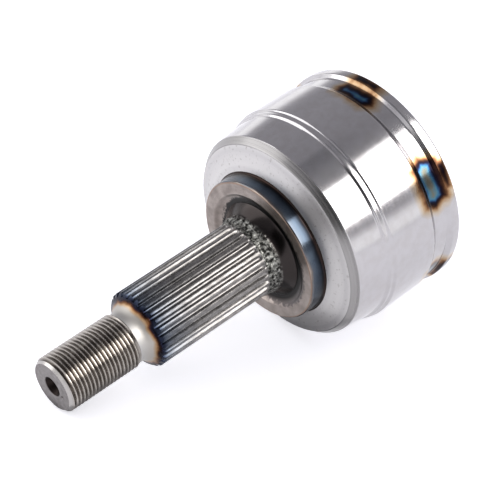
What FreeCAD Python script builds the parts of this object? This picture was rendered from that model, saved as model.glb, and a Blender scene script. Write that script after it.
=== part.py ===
import FreeCAD, Part
import math
import os
import re

import Sketcher

# A fixed six-ball constant velocity joint, the wheel end of a drive shaft.
# The origin is the joint centre, +X runs along the axis out of the open mouth,
# and the first ball track lies straight up, along +Z.

# Driving dimensions in millimetres and degrees.
SIZES = {
    # Bell, from the rim towards the stub
    "rim_reach": 19.9,
    "lip_radius": 41.9,
    "lip_width": 3.8,
    "lip_round": 1.0,
    "boot_seat_radius": 40.4,
    "boot_seat_width": 9.2,
    "bell_radius": 41.6,
    "bell_width": 18.7,
    "bell_edge": 0.6,
    "collar_radius": 41.0,
    "collar_width": 3.0,
    "nose_back_radius": 40.2,
    "nose_radius": 39.0,
    "nose_width": 11.7,
    "bevel_width": 2.55,
    "bevel_drop": 2.1,
    "face_slope_width": 2.25,
    # Boss that bears on the wheel bearing
    "boss_radius": 26.9,
    "boss_height": 5.95,
    "boss_edge": 0.5,
    "boss_fillet": 0.8,
    "dish_radius": 22.2,
    "dish_depth": 1.6,
    "dish_bevel": 2.2,
    "root_radius": 18.2,
    "root_width": 9.2,
    "root_bend": 12.0,
    # Splined and threaded stub
    "spline_radius": 14.05,
    "spline_length": 47.35,
    "spline_teeth": 28,
    "spline_depth": 1.15,
    "spline_gap_top": 2.0,
    "spline_gap_foot": 0.9,
    "spline_runout": 3.0,
    "spline_bevel": 1.1,
    "flare_width": 4.1,
    "flare_bend": 4.6,
    "neck_radius": 9.3,
    "neck_width": 1.6,
    "thread_radius": 9.925,
    "thread_length": 29.8,
    "thread_bevel": 1.3,
    "centre_mouth_radius": 3.75,
    "centre_cone_depth": 4.1,
    "pilot_radius": 1.4,
    "pilot_depth": 6.0,
    "pilot_tip": 0.8,
    # Balls and the circles that their tracks follow
    "ball_count": 6,
    "ball_radius": 7.94,
    "pitch_radius": 29.0,
    "track_offset": 3.0,
    "track_clearance": 0.26,
    "track_back_angle": 46.0,
    "track_mouth_angle": 50.0,
    "star_track_angle": 65.0,
    # Inside of the bell
    "cavity_radius": 31.4,
    "cavity_depth": 27.8,
    "mouth_radius": 35.5,
    "mouth_depth": 7.6,
    # Cage and star
    "sphere_clearance": 0.2,
    "cage_thickness": 4.3,
    "cage_half_width": 17.5,
    "cage_edge": 0.5,
    "window_clearance": 0.31,
    "window_length": 19.6,
    "window_corner": 3.2,
    "star_half_width": 12.0,
    "star_edge": 0.8,
    "bore_radius": 11.3,
    "bore_edge": 1.2,
    "shaft_spline_teeth": 26,
    "shaft_spline_depth": 1.1,
    "shaft_gap_foot": 1.0,
    "shaft_gap_mouth": 1.9,
    # Snap ring that holds the drive shaft in the star
    "ring_place": 8.6,
    "ring_wire": 0.8,
    "ring_radius": 11.75,
    "ring_groove_radius": 12.8,
    "ring_clearance": 0.15,
    "ring_sweep_angle": 325.0,
}

doc = FreeCAD.newDocument("CVJoint")
sheet = doc.addObject("Spreadsheet::Sheet", "Sizes")
for row, (size_name, size) in enumerate(SIZES.items(), start=1):
    sheet.set(f"A{row}", size_name)
    sheet.set(f"B{row}", str(size))
    sheet.setAlias(f"B{row}", size_name)
doc.recompute()


def cells(formula):
    """The formula with each size's name pointing at its cell."""
    return re.sub(r"[a-z]\w+", lambda word: f"Sizes.{word[0]}" if word[0] in SIZES else word[0], formula)


def value(formula):
    """What a formula of size names comes to now."""
    return float(sheet.evalExpression(cells(formula)))


def bind(thing, path, formula):
    """Ties one property of an object to a formula of size names."""
    thing.setExpression(path, cells(formula))


# Places along the axis, each worked out from the one before it.
LIP_BACK = "(rim_reach - lip_width)"
SEAT_BACK = f"({LIP_BACK} - boot_seat_width)"
BELL_FRONT = f"({SEAT_BACK} - bell_width)"
COLLAR_FRONT = f"({BELL_FRONT} - collar_width)"
NOSE_FRONT = f"({COLLAR_FRONT} - nose_width)"
FACE_EDGE = f"({NOSE_FRONT} - bevel_width)"
FACE_FOOT = f"({FACE_EDGE} - face_slope_width)"
BOSS_FACE = f"({FACE_FOOT} - boss_height)"
DISH_FLOOR = f"({BOSS_FACE} + dish_depth)"
SPLINE_BACK = f"({DISH_FLOOR} - root_width)"
SPLINE_FRONT = f"({SPLINE_BACK} - spline_length)"
NECK_BACK = f"({SPLINE_FRONT} - flare_width)"
THREAD_BACK = f"({NECK_BACK} - neck_width)"
STUB_END = f"({THREAD_BACK} - thread_length)"

# Radii that follow from others.
SPLINE_ROOT = "(spline_radius - spline_depth)"
TRACK_CIRCLE = "sqrt(pitch_radius^2 + track_offset^2)"
TRACK_RADIUS = "(ball_radius + track_clearance)"
CAGE_OUTER = "(cavity_radius - sphere_clearance)"
CAGE_INNER = f"({CAGE_OUTER} - cage_thickness)"
STAR_RADIUS = f"({CAGE_INNER} - sphere_clearance)"


def on_sphere(radius, along):
    """Distance from the axis of a sphere's surface at a place along the axis."""
    return f"sqrt({radius}^2 - {along}^2)"


def new_body(label):
    body = doc.addObject("PartDesign::Body", label)
    body.Label = label
    return body


def sketch_on(body, name, role, away="0"):
    """An empty sketch on one of the body's own planes, set off along its normal."""
    plane = next(item for item in body.Origin.OriginFeatures if item.Role == role)
    sketch = body.newObject("Sketcher::SketchObject", name)
    sketch.AttachmentSupport = (plane, [""])
    sketch.MapMode = "FlatFace"
    bind(sketch, "AttachmentOffset.Base.z", away)
    doc.recompute()
    return sketch


def arc_between(start, end, bend):
    """Arc of radius abs(bend); its centre lies left of the way from start to end if bend is positive."""
    chord = end - start
    half = chord.Length / 2
    left = FreeCAD.Vector(-chord.y, chord.x, 0).normalize()
    rise = math.sqrt(max(bend * bend - half * half, 0.0))
    centre = (start + end) * 0.5 + left * math.copysign(rise, bend)
    first, last = (start, end) if bend > 0 else (end, start)
    angles = [math.atan2(point.y - centre.y, point.x - centre.x) for point in (first, last)]
    return Part.ArcOfCircle(Part.Circle(centre, FreeCAD.Vector(0, 0, 1), abs(bend)), *angles)


def outline(sketch, corners):
    """Closed outline through the corners, each (across, up) or (across, up, bend of the edge that ends there).

    Every corner is held by two distances that follow the sheet, and every bend by a radius.
    """
    points = [FreeCAD.Vector(value(corner[0]), value(corner[1]), 0) for corner in corners]
    edges = []
    for index, corner in enumerate(corners):
        start, end = points[index - 1], points[index]
        if len(corner) == 3:
            sign = -1 if corner[2].startswith("-") else 1
            radius = corner[2].lstrip("-")
            edge = sketch.addGeometry(arc_between(start, end, sign * value(radius)), False)
            held = sketch.addConstraint(Sketcher.Constraint("Radius", edge, value(radius)))
            bind(sketch, f"Constraints[{held}]", radius)
            edges.append((edge, 1, 2) if sign > 0 else (edge, 2, 1))
        else:
            edges.append((sketch.addGeometry(Part.LineSegment(start, end), False), 1, 2))
    for index, (edge, _, tail) in enumerate(edges):
        following, head, _ = edges[(index + 1) % len(edges)]
        sketch.addConstraint(Sketcher.Constraint("Coincident", edge, tail, following, head))
        for kind, formula, axis in (("DistanceX", corners[index][0], -2), ("DistanceY", corners[index][1], -1)):
            if formula == "0":
                sketch.addConstraint(Sketcher.Constraint("PointOnObject", edge, tail, axis))
            else:
                held = sketch.addConstraint(Sketcher.Constraint(kind, -1, 1, edge, tail, value(formula)))
                bind(sketch, f"Constraints[{held}]", formula)
    doc.recompute()
    return sketch


def feature(body, kind, name, profile):
    made = body.newObject(f"PartDesign::{kind}", name)
    made.Profile = profile
    return made


def turned(body, kind, name, corners):
    """Revolution or Groove of an outline in the plane through the axis."""
    sketch = outline(sketch_on(body, f"{name}_outline", "XZ_Plane"), corners)
    made = feature(body, kind, name, sketch)
    made.ReferenceAxis = (sketch, ["H_Axis"])
    made.Angle = 360
    doc.recompute()
    return made


def repeated(body, name, originals, count):
    """The same cuts all round the axis; the pattern is the body's last step."""
    pattern = body.newObject("PartDesign::PolarPattern", name)
    pattern.Originals = originals
    pattern.Axis = (next(item for item in body.Origin.OriginFeatures if item.Role == "X_Axis"), [""])
    pattern.Angle = 360
    bind(pattern, "Occurrences", count)
    body.Tip = pattern
    doc.recompute()
    return pattern


def track(body, name, side, mouth_angle, back_angle):
    """Ball track: a round groove that follows a circle about a point off the joint centre, then its five likes."""
    sketch = sketch_on(body, f"{name}_section", "YZ_Plane", f"{side} * track_offset")
    circle = Part.Circle(FreeCAD.Vector(0, value(TRACK_CIRCLE), 0), FreeCAD.Vector(0, 0, 1), value(TRACK_RADIUS))
    sketch.addGeometry(circle, False)
    sketch.addConstraint(Sketcher.Constraint("PointOnObject", 0, 3, -2))
    for kind, formula in (("DistanceY", TRACK_CIRCLE), ("Radius", TRACK_RADIUS)):
        ends = (-1, 1, 0, 3) if kind == "DistanceY" else (0,)
        held = sketch.addConstraint(Sketcher.Constraint(kind, *ends, value(formula)))
        bind(sketch, f"Constraints[{held}]", formula)
    cut = feature(body, "Groove", name, sketch)
    cut.ReferenceAxis = (sketch, ["H_Axis"])
    cut.Type = "TwoAngles"
    bind(cut, "Angle", mouth_angle)
    bind(cut, "Angle2", back_angle)
    doc.recompute()
    return repeated(body, f"{name}s", [cut], "ball_count")


def gap_corners(foot_radius, open_radius, foot_width, open_width):
    """Symmetrical four-cornered tooth gap on the plane across the axis."""
    return [
        (f"{foot_width} / 2", foot_radius),
        (f"{open_width} / 2", open_radius),
        (f"-{open_width} / 2", open_radius),
        (f"-{foot_width} / 2", foot_radius),
    ]


# The outer race: bell, boss and stub are one forging, turned, then broached and rolled.
outer = new_body("outer_race")
turned(outer, "Revolution", "forging", [
    ("rim_reach", "0"),
    ("rim_reach", "lip_radius - lip_round"),
    ("rim_reach - lip_round", "lip_radius", "lip_round"),
    (LIP_BACK, "lip_radius"),
    (f"{LIP_BACK} - (lip_radius - boot_seat_radius)", "boot_seat_radius"),
    (f"{SEAT_BACK} + bell_edge", "boot_seat_radius"),
    (SEAT_BACK, "bell_radius"),
    (BELL_FRONT, "bell_radius"),
    (f"{BELL_FRONT} - (bell_radius - collar_radius)", "collar_radius"),
    (f"{COLLAR_FRONT} + (collar_radius - nose_back_radius)", "collar_radius"),
    (COLLAR_FRONT, "nose_back_radius"),
    (NOSE_FRONT, "nose_radius"),
    (FACE_EDGE, "nose_radius - bevel_drop"),
    (FACE_FOOT, "boss_radius + boss_fillet"),
    (f"{FACE_FOOT} - boss_fillet", "boss_radius", "-boss_fillet"),
    (f"{BOSS_FACE} + boss_edge", "boss_radius"),
    (BOSS_FACE, "boss_radius - boss_edge"),
    (BOSS_FACE, "dish_radius"),
    (DISH_FLOOR, "dish_radius - dish_bevel"),
    (DISH_FLOOR, "root_radius"),
    (SPLINE_BACK, "spline_radius", "-root_bend"),
    (f"{SPLINE_FRONT} + spline_bevel", "spline_radius"),
    (SPLINE_FRONT, "spline_radius - spline_bevel"),
    (NECK_BACK, "neck_radius", "-flare_bend"),
    (THREAD_BACK, "neck_radius"),
    (f"{THREAD_BACK} - (thread_radius - neck_radius)", "thread_radius"),
    (f"{STUB_END} + thread_bevel", "thread_radius"),
    (STUB_END, "thread_radius - thread_bevel"),
    (STUB_END, "centre_mouth_radius"),
    (f"{STUB_END} + centre_cone_depth", "pilot_radius"),
    (f"{STUB_END} + centre_cone_depth + pilot_depth", "pilot_radius"),
    (f"{STUB_END} + centre_cone_depth + pilot_depth + pilot_tip", "0"),
])
turned(outer, "Groove", "ball_cavity", [
    ("rim_reach + lip_width", "0"),
    ("rim_reach + lip_width", "mouth_radius"),
    ("rim_reach", "mouth_radius"),
    ("rim_reach - mouth_depth", on_sphere("cavity_radius", "(rim_reach - mouth_depth)")),
    ("-cavity_depth", on_sphere("cavity_radius", "cavity_depth"), "cavity_radius"),
    ("-cavity_depth", "0"),
])
track(outer, "outer_track", "1", "track_mouth_angle", "track_back_angle")

# The stub's splines are rolled, and the tool leaves them shallower over the last few millimetres.
gap = outline(
    sketch_on(outer, "spline_gap_section", "YZ_Plane", f"{SPLINE_BACK} - spline_runout"),
    gap_corners(SPLINE_ROOT, "spline_radius + spline_depth", "spline_gap_foot",
                "(2 * spline_gap_top - spline_gap_foot)"),
)
gap_end = outline(
    sketch_on(outer, "spline_gap_end_section", "YZ_Plane", SPLINE_BACK),
    gap_corners("spline_radius", "spline_radius + spline_depth", "spline_gap_foot",
                "(2 * spline_gap_top - spline_gap_foot)"),
)
spline_cut = feature(outer, "Pocket", "spline_gap", gap)
bind(spline_cut, "Length", "spline_length - spline_runout + flare_width / 4")
doc.recompute()
runout_cut = feature(outer, "SubtractiveLoft", "spline_gap_runout", gap)
runout_cut.Sections = [gap_end]
doc.recompute()
repeated(outer, "spline_gaps", [spline_cut, runout_cut], "spline_teeth")

# The star, or inner race, slides on the drive shaft's splines.
star = new_body("inner_race")
STAR_FLANK = on_sphere(STAR_RADIUS, "star_half_width")
RING_EDGE = "(ring_wire + ring_clearance)"
turned(star, "Revolution", "star_blank", [
    ("star_half_width", "bore_radius + bore_edge"),
    ("star_half_width", f"{STAR_FLANK} - star_edge"),
    ("star_half_width - star_edge", on_sphere(STAR_RADIUS, "(star_half_width - star_edge)")),
    ("star_edge - star_half_width", on_sphere(STAR_RADIUS, "(star_half_width - star_edge)"), STAR_RADIUS),
    ("-star_half_width", f"{STAR_FLANK} - star_edge"),
    ("-star_half_width", "bore_radius + bore_edge"),
    ("bore_edge - star_half_width", "bore_radius"),
    (f"-ring_place - {RING_EDGE}", "bore_radius"),
    (f"-ring_place - {RING_EDGE}", "ring_groove_radius"),
    (f"-ring_place + {RING_EDGE}", "ring_groove_radius"),
    (f"-ring_place + {RING_EDGE}", "bore_radius"),
    ("star_half_width - bore_edge", "bore_radius"),
])
track(star, "star_track", "-1", "star_track_angle", "star_track_angle")
shaft_gap = outline(
    sketch_on(star, "shaft_spline_section", "YZ_Plane"),
    gap_corners("bore_radius - shaft_spline_depth", "bore_radius + shaft_spline_depth",
                "(2 * shaft_gap_mouth - shaft_gap_foot)", "shaft_gap_foot"),
)
shaft_cut = feature(star, "Pocket", "shaft_spline_gap", shaft_gap)
shaft_cut.Type = "ThroughAll"
shaft_cut.Midplane = True
doc.recompute()
repeated(star, "shaft_spline_gaps", [shaft_cut], "shaft_spline_teeth")

# The cage holds all the balls in one plane, each in a window of its own.
cage = new_body("ball_cage")
turned(cage, "Revolution", "cage_shell", [
    ("cage_half_width", on_sphere(CAGE_INNER, "cage_half_width"), f"-{CAGE_INNER}"),
    ("cage_half_width", f"{on_sphere(CAGE_OUTER, 'cage_half_width')} - cage_edge"),
    ("cage_half_width - cage_edge", on_sphere(CAGE_OUTER, "(cage_half_width - cage_edge)")),
    ("cage_edge - cage_half_width", on_sphere(CAGE_OUTER, "(cage_half_width - cage_edge)"), CAGE_OUTER),
    ("-cage_half_width", f"{on_sphere(CAGE_OUTER, 'cage_half_width')} - cage_edge"),
    ("-cage_half_width", on_sphere(CAGE_INNER, "cage_half_width")),
])
HALF_WINDOW = "(ball_radius + window_clearance)"
HALF_LENGTH = "(window_length / 2)"
INSET_ACROSS = f"({HALF_WINDOW} - window_corner)"
INSET_ALONG = f"({HALF_LENGTH} - window_corner)"
window = outline(sketch_on(cage, "window_outline", "XY_Plane"), [
    (HALF_WINDOW, f"-{INSET_ALONG}", "window_corner"),
    (HALF_WINDOW, INSET_ALONG),
    (INSET_ACROSS, HALF_LENGTH, "window_corner"),
    (f"-{INSET_ACROSS}", HALF_LENGTH),
    (f"-{HALF_WINDOW}", INSET_ALONG, "window_corner"),
    (f"-{HALF_WINDOW}", f"-{INSET_ALONG}"),
    (f"-{INSET_ACROSS}", f"-{HALF_LENGTH}", "window_corner"),
    (INSET_ACROSS, f"-{HALF_LENGTH}"),
])
window_cut = feature(cage, "Pocket", "window", window)
window_cut.Reversed = True
window_cut.Type = "ThroughAll"
doc.recompute()
repeated(cage, "windows", [window_cut], "ball_count")

# The balls, one in each track, counted from straight up.
balls = []
for number in range(int(value("ball_count"))):
    ball = doc.addObject("Part::Sphere", f"ball_{number + 1}")
    ball.Label = f"ball_{number + 1}"
    bind(ball, "Radius", "ball_radius")
    bind(ball, "Placement.Base.y", f"-pitch_radius * sin({number} * 360 deg / ball_count)")
    bind(ball, "Placement.Base.z", f"pitch_radius * cos({number} * 360 deg / ball_count)")
    balls.append(ball)

# The snap ring is round spring wire in the star's inner groove, open at the bottom.
ring = doc.addObject("Part::Torus", "shaft_snap_ring")
ring.Label = "shaft_snap_ring"
bind(ring, "Radius1", "ring_radius")
bind(ring, "Radius2", "ring_wire")
bind(ring, "Angle3", "ring_sweep_angle")
ring.Placement = FreeCAD.Placement(FreeCAD.Vector(), FreeCAD.Rotation(FreeCAD.Vector(0, 1, 0), 90))
bind(ring, "Placement.Base.x", "-ring_place")

doc.recompute()

for thing in doc.Objects:
    if {"Invalid", "Error"} & set(thing.State):
        raise RuntimeError(f"{thing.Name} is {thing.State}")

pieces = [outer, star, cage, ring] + balls
for piece in pieces:
    if piece.Shape.isNull() or not piece.Shape.isValid():
        raise RuntimeError(f"{piece.Label} has no valid shape")

os.makedirs("parts", exist_ok=True)
for piece in pieces:
    piece.Shape.exportStep(f"parts/{piece.Label}.step")
    reach = piece.Shape.BoundBox
    print(f"{piece.Label}: {len(piece.Shape.Solids)} solid, {piece.Shape.Volume:.1f} mm3, "
          f"x {reach.XMin:.2f} to {reach.XMax:.2f}, {reach.YLength:.2f} wide, {reach.ZLength:.2f} high")
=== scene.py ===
import math

import bmesh
import bpy
import numpy as np
from mathutils import Matrix, Vector, noise


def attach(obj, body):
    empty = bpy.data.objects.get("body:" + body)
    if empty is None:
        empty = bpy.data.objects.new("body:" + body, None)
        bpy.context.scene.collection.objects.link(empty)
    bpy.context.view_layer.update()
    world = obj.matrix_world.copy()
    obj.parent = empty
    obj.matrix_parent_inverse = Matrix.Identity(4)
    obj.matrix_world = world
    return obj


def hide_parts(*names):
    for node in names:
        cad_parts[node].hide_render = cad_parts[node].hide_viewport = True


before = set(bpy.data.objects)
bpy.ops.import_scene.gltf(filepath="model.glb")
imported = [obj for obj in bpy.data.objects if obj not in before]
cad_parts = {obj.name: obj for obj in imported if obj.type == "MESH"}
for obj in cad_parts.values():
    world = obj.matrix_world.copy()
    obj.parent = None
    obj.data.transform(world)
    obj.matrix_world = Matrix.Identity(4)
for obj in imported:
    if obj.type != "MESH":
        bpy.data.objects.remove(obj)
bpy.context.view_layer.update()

scene = bpy.context.scene
scene.view_settings.view_transform = "Standard"

# The camera stands 0.64 m off, above and beside the thread, with a long lens, and leans by 4 degrees.
camera = bpy.data.objects.new("camera", bpy.data.cameras.new("camera"))
scene.collection.objects.link(camera)
camera.data.sensor_width = 36
camera.data.lens = 129.86
camera_right = Vector((0.72883699, -0.68228278, -0.05733111))
camera_up = Vector((0.48162665, 0.45136727, 0.75120128))
camera_back = camera_right.cross(camera_up)
camera_place = Vector((-0.34119, -0.35522, 0.40865))
camera_turn = Matrix((camera_right, camera_up, camera_back)).transposed().to_4x4()
camera.matrix_world = Matrix.Translation(camera_place) @ camera_turn
scene.camera = camera


# The stage: a white sheet under the joint, which lies on the end of its thread and the front edge
# of its bell, so the sheet leans by 16 degrees in the joint's own frame.
def linear(hex_colour):
    """An sRGB hex colour as linear red, green, blue and alpha."""
    parts = [int(hex_colour[i:i + 2], 16) / 255 for i in (1, 3, 5)]
    return [p / 12.92 if p <= 0.04045 else ((p + 0.055) / 1.055) ** 2.4 for p in parts] + [1.0]


def add(tree, kind, links=None, stops=(), **settings):
    """Adds a node with its settings. An input takes a value, a socket or a node's first output in use."""
    made = tree.nodes.new(kind)
    for name, setting in settings.items():
        setattr(made, name, setting)
    for name, source in (links or {}).items():
        if isinstance(source, bpy.types.Node):
            source = next(socket for socket in source.outputs if socket.enabled)
        if isinstance(source, bpy.types.NodeSocket):
            tree.links.new(source, made.inputs[name])
        else:
            made.inputs[name].default_value = source
    for index, (place, hex_colour) in enumerate(stops):
        if index == 0:
            made.color_ramp.elements.remove(made.color_ramp.elements[1])
        stop = made.color_ramp.elements.new(place) if index else made.color_ramp.elements[0]
        stop.position = place
        stop.color = linear(hex_colour)
    return made


def new_finish(name):
    """A new material and its empty node tree."""
    material = bpy.data.materials.new(name)
    material.use_nodes = True
    material.node_tree.nodes.clear()
    return material, material.node_tree


paper_lean = math.radians(16.27)
paper_normal = Vector((math.sin(paper_lean), 0, math.cos(paper_lean)))
paper_place = Vector((-0.0265, 0, -0.0391))
paper = bpy.data.objects.new("paper_floor", bpy.data.meshes.new("paper_floor"))
scene.collection.objects.link(paper)
sheet_form = bmesh.new()
bmesh.ops.create_grid(sheet_form, x_segments=8, y_segments=8, size=4)
sheet_form.to_mesh(paper.data)
sheet_form.free()
paper_turn = paper_normal.to_track_quat("Z", "Y").to_matrix().to_4x4()
paper.matrix_world = Matrix.Translation(paper_place) @ paper_turn

# White acrylic, sanded matte and lit from below, so that shadows on it stay pale.
paper_finish, tree = new_finish("sanded_white_acrylic")
add(tree, "ShaderNodeOutputMaterial", {"Surface": add(tree, "ShaderNodeBsdfPrincipled", {
    "Base Color": linear("#efeff2"),
    "Roughness": 0.9,
    "Emission Color": linear("#fbfbff"),
    "Emission Strength": 0.57,
})})
paper.data.materials.append(paper_finish)

# The studio: bright near the horizon, where the white sweep curves up, and dim overhead.
studio = bpy.data.worlds.new("studio")
scene.world = studio
studio.use_nodes = True
tree = studio.node_tree
tree.nodes.clear()
way = add(tree, "ShaderNodeTexCoord").outputs["Generated"]
height = add(tree, "ShaderNodeVectorMath", {0: way, 1: paper_normal}, operation="DOT_PRODUCT")
share = add(tree, "ShaderNodeMapRange", {"Value": height, "From Min": -1.0, "From Max": 1.0})
glow = add(tree, "ShaderNodeValToRGB", {"Fac": share}, stops=[
    (0.0, "#ffffff"), (0.575, "#fdfdff"), (0.64, "#a2a1a6"), (0.72, "#919095"), (0.86, "#949398"),
    (1.0, "#88878c")])
add(tree, "ShaderNodeOutputWorld", {
    "Surface": add(tree, "ShaderNodeBackground", {"Color": glow, "Strength": 1.6})})


def face_towards(place, aim, along):
    """A turn and place whose own -Z looks at the aim, with its width lying along a direction."""
    back = (Vector(place) - Vector(aim)).normalized()
    side = (Vector(along) - Vector(along).dot(back) * back).normalized()
    return Matrix.Translation(place) @ Matrix((side, back.cross(side), back)).transposed().to_4x4()


def hang_light(name, place, aim, width, depth, radiance, colour):
    """A soft box at a place, turned to its aim, as bright as asked."""
    lamp = bpy.data.lights.new(name, "AREA")
    lamp.shape = "RECTANGLE"
    lamp.size = width
    lamp.size_y = depth
    lamp.energy = radiance * math.pi * width * depth
    lamp.color = linear(colour)[:3]
    holder = bpy.data.objects.new(name, lamp)
    scene.collection.objects.link(holder)
    holder.matrix_world = face_towards(place, aim, (1, 0, 0))
    return holder


# The long soft box gives the white band along the bell, boss and thread, and is seen in the steel only. The
# back light lies behind the thread and throws the shadow forward. The wide light overhead is for the sheet
# alone and evens it out.
soft_box = hang_light("long_soft_box", place=(0.50, -0.72, 0.72), aim=(0.50, 0.0, 0.0),
                      width=1.5, depth=0.90, radiance=6.5, colour="#fffdfa")
soft_box.visible_diffuse = False
hang_light("back_light", place=(-0.70, 0.94, 0.70), aim=(-0.05, 0, 0),
           width=1.3, depth=1.0, radiance=1.9, colour="#ffffff")
overhead = hang_light("wide_overhead_light", place=paper_normal * 1.3, aim=(0, 0, 0),
                      width=2.6, depth=2.6, radiance=0.4, colour="#ffffff")
overhead.visible_glossy = False


def matte_card_finish(name, hex_colour):
    """A dull matte finish from every side: dyed wool felt on the studio's cards, and the painted contact
    shadow on the sheet.
    """
    finish, tree = new_finish(name)
    add(tree, "ShaderNodeOutputMaterial", {"Surface": add(tree, "ShaderNodeBsdfPrincipled", {
        "Base Color": linear(hex_colour),
        "Roughness": 1.0,
    })})
    return finish


def hang_card(name, corners, place, finish):
    """A flat card, four corners to a face, that the camera sees in reflections only."""
    card = bpy.data.objects.new(name, bpy.data.meshes.new(name))
    scene.collection.objects.link(card)
    card.data.from_pydata(corners, [], [tuple(range(i, i + 4)) for i in range(0, len(corners), 4)])
    card.matrix_world = place
    card.data.materials.append(finish)
    card.visible_camera = False
    card.visible_diffuse = False
    card.visible_shadow = False
    return card


# A black card on the camera's side darkens the bevels, as a photographer's flag does.
card_turn = face_towards((-0.66, -0.65, 0.18), (-0.02, 0, 0), (-0.09, 0.61, 0.84))
card = hang_card("black_card", [(-0.75, -0.31, 0), (0.75, -0.31, 0), (0.75, 0.31, 0), (-0.75, 0.31, 0)],
                 card_turn, matte_card_finish("black_felt", "#1c1c1e"))

# A grey card hangs 50 mm below the upper half of the long soft box, on the stub's side. It starts the white
# band lower on the stub, the shoulder and the bell's cone than on the bell.
GREY_CARD_DROP = 0.05
upper_half = [(-1.3, 0.25), (0.12, 0.25), (0.43, 1.2), (-1.3, 1.2)]
grey_card = hang_card("grey_card", [(x, y, -GREY_CARD_DROP) for x, y in upper_half],
                      soft_box.matrix_world, matte_card_finish("grey_felt", "#77777a"))

# Two small pale strips lie on the sheet where the bell and the thread touch it, as painted contact shadow.
# The sheet glows even there, so the strips give the steel a contact shadow to reflect. Y runs along the
# sheet to the stub's end.
STRIP_LIFT = 0.0003
strips = [(-0.038, 0.001), (0.002, 0.001), (-0.006, 0.016), (-0.030, 0.016),
          (-0.012, 0.076), (0.012, 0.076), (0.010, 0.107), (-0.010, 0.107)]
contact_shadow_card = hang_card("contact_shadow_card", [(x, y, STRIP_LIFT) for x, y in strips],
                       paper.matrix_world, matte_card_finish("painted_contact_shadow", "#dadadd"))

# The outer race: bell, shoulder and stub are one steel forging, turned to size, with the bell's outside
# ground, the splines and the thread rolled, and the ball tracks induction hardened from inside.
# All its sizes are in millimetres. Its places along the axis come first, from the mouth to the stub's end.
MM = 0.001
PER_MM = 1 / MM
RIM = 19.9
LIP_END = 16.1
MOUTH_END = 12.3
SEAT_END = 6.9
BELL_END = -11.8
COLLAR_END = -14.8
NOSE_END = -26.5
CAVITY_FLOOR = -27.8
FACE_EDGE = -29.05
FACE_MIDDLE = -30.2
FACE_FOOT = -31.3
DISH_FLOOR = -35.65
BOSS_FACE = -37.25
SPLINE_START = -44.85
SPLINE_END = -92.2
NECK_START = -96.3
THREAD_START = -97.9
STUB_END = -127.7

# Radii, from the outside in
LIP_RADIUS = 41.9
BELL_RADIUS = 41.6
COLLAR_RADIUS = 41.0
SEAT_RADIUS = 40.4
NOSE_START_RADIUS = 40.2
NOSE_RADIUS = 39.0
BEVEL_RADIUS = 36.9
MOUTH_RADIUS = 35.5
FACE_MIDDLE_RADIUS = 32.2
CAVITY_RADIUS = 31.4
FACE_FOOT_RADIUS = 27.7
BOSS_RADIUS = 26.9
DISH_RADIUS = 22.2
ROOT_RADIUS = 18.2
SPLINE_RADIUS = 14.05
THREAD_RADIUS = 9.925
NECK_RADIUS = 9.3

# Teeth, thread and ball tracks
TEETH = 28
SPLINE_DEPTH = 1.15
SPLINE_RUNOUT = 3
SPLINE_BEVEL = 1.1
PITCH = 1.5
THREAD_DEPTH = 0.84
THREAD_BEVEL = 1.3
TRACKS = 6
TRACK_OFFSET = 3.0
TRACK_RADIUS = 8.2
BALL_CIRCLE_RADIUS = 29.0


def turned_place(tree):
    """Where a point of a turned piece lies: along the axis and out from it in millimetres, and its angle."""
    place = add(tree, "ShaderNodeTexCoord").outputs["Object"]
    parts = add(tree, "ShaderNodeSeparateXYZ", {0: place})
    across = add(tree, "ShaderNodeCombineXYZ", {"Y": parts.outputs["Y"], "Z": parts.outputs["Z"]})
    out = add(tree, "ShaderNodeVectorMath", {0: across}, operation="LENGTH")
    left = add(tree, "ShaderNodeMath", {0: parts.outputs["Y"], 1: -1.0}, operation="MULTIPLY")
    angle = add(tree, "ShaderNodeMath", {0: left, 1: parts.outputs["Z"]}, operation="ARCTAN2")
    along_mm = add(tree, "ShaderNodeMath", {0: parts.outputs["X"], 1: PER_MM}, operation="MULTIPLY")
    out_mm = add(tree, "ShaderNodeMath", {0: out, 1: PER_MM}, operation="MULTIPLY")
    return place, along_mm, out_mm, angle


def tool_marks(tree, along, out, angle, spacing, drift=0.25, detail=3.0):
    """Lines round the axis, as a turning tool or a grinding wheel leaves them, spacing millimetres apart."""
    across = [add(tree, "ShaderNodeMath", {0: side, 1: 1 / spacing}, operation="MULTIPLY")
              for side in (along, out)]
    drifting = add(tree, "ShaderNodeMath", {0: angle, 1: drift}, operation="MULTIPLY")
    place = add(tree, "ShaderNodeCombineXYZ", {"X": across[0], "Y": across[1], "Z": drifting})
    return add(tree, "ShaderNodeTexNoise", {"Vector": place, "Scale": 1.0, "Detail": detail})


race_finish = {}

# Hardened turned steel in the cavity: dark grey-brown under a film of oil, with coarse turning rings.
race_finish["cavity"], tree = new_finish("hardened_turned_steel")
place, along, out, angle = turned_place(tree)
clouds = add(tree, "ShaderNodeTexNoise", {"Vector": place, "Scale": PER_MM / 11, "Detail": 4.0})
rings = tool_marks(tree, along, out, angle, 0.6)
add(tree, "ShaderNodeOutputMaterial", {"Surface": add(tree, "ShaderNodeBsdfPrincipled", {
    "Base Color": add(tree, "ShaderNodeValToRGB", {"Fac": clouds}, stops=[
        (0.35, "#5f5a56"), (0.65, "#7b7570")]),
    "Metallic": 1.0,
    "Roughness": add(tree, "ShaderNodeMapRange", {
        "Value": rings, "From Min": 0.3, "From Max": 0.7, "To Min": 0.24, "To Max": 0.40}),
    "Normal": add(tree, "ShaderNodeBump", {"Strength": 0.3, "Distance": 0.05 * MM, "Height": rings}),
})})

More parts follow.
